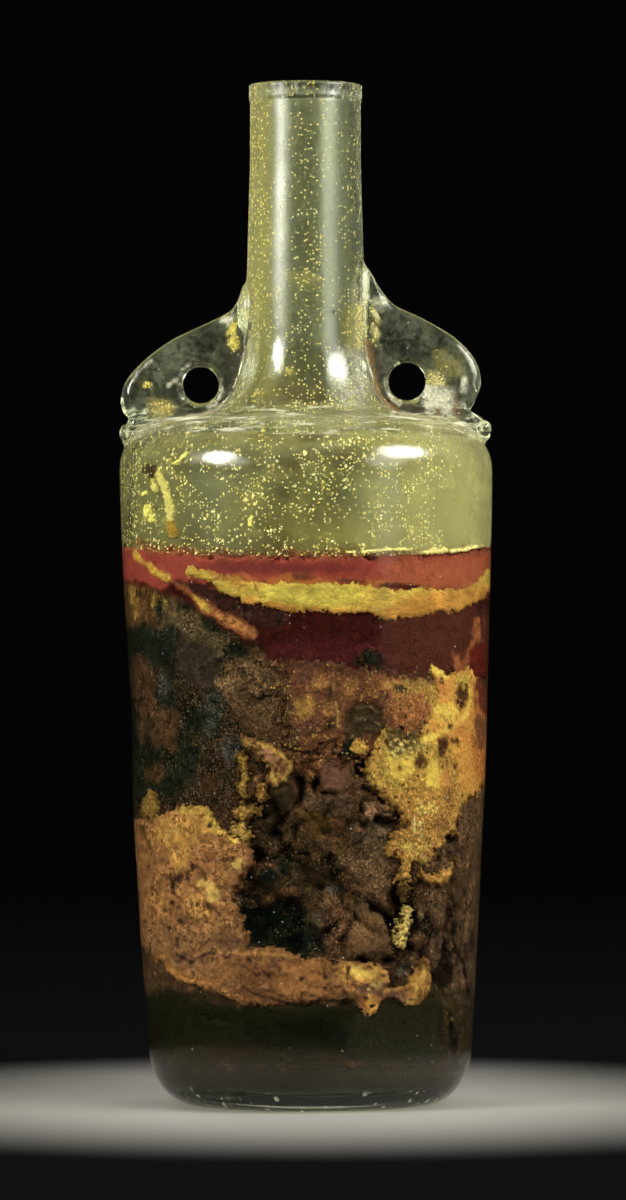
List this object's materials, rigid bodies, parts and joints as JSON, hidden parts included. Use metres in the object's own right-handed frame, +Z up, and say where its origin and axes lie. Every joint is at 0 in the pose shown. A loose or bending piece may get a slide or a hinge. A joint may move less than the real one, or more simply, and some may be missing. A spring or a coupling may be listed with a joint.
{
  "type": "ancient glass bottle with fin handles",
  "caption": "Tall cylindrical blown-glass bottle with a flat shoulder, a long straight neck and a pierced dolphin-shaped fin handle on each side.",
  "frame": {"origin": "on the shoulder's axis, at the level of the foot that the bottle stands on", "axes": "+Z up along the bottle, +X towards the right handle as pictured, -Y towards the viewer"},
  "size_m": [0.112, 0.112, 0.305],
  "materials": {
    "olive_glass": "gloss"
  },
  "bodies": {
    "root": {"bottle": "olive_glass"}
  },
  "joints": []
}
